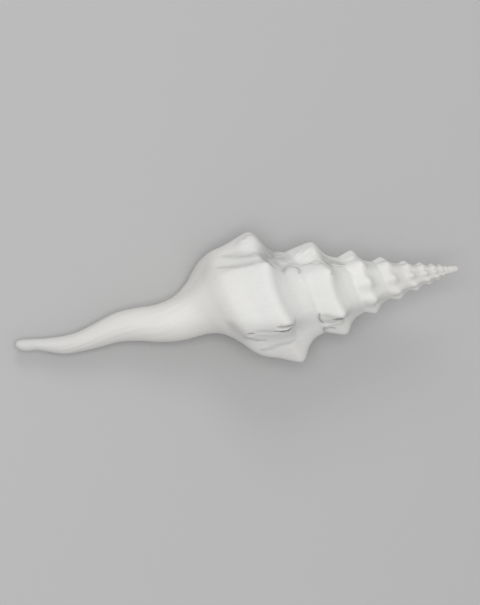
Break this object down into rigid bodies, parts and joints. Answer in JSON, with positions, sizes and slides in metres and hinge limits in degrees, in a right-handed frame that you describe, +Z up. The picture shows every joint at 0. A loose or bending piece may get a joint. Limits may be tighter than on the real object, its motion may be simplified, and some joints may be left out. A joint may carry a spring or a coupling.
{
  "type": "spindle sea shell",
  "caption": "Heavy white spindle shell with a tall knobbed spire, ovate aperture and long siphonal canal, lying on its aperture as a display specimen.",
  "frame": {"origin": "on the ground below the centre of the shell's bounding box, as the shell lies on its aperture", "axes": "+X runs towards the apex of the spire, +Z up, the shell's back upwards; the siphonal canal points to -X and the outer lip is on the +Y side"},
  "size_m": [0.1682, 0.0516, 0.0407],
  "materials": {
    "white_shell": "satin"
  },
  "bodies": {
    "root": {"shell": "white_shell"}
  },
  "joints": []
}
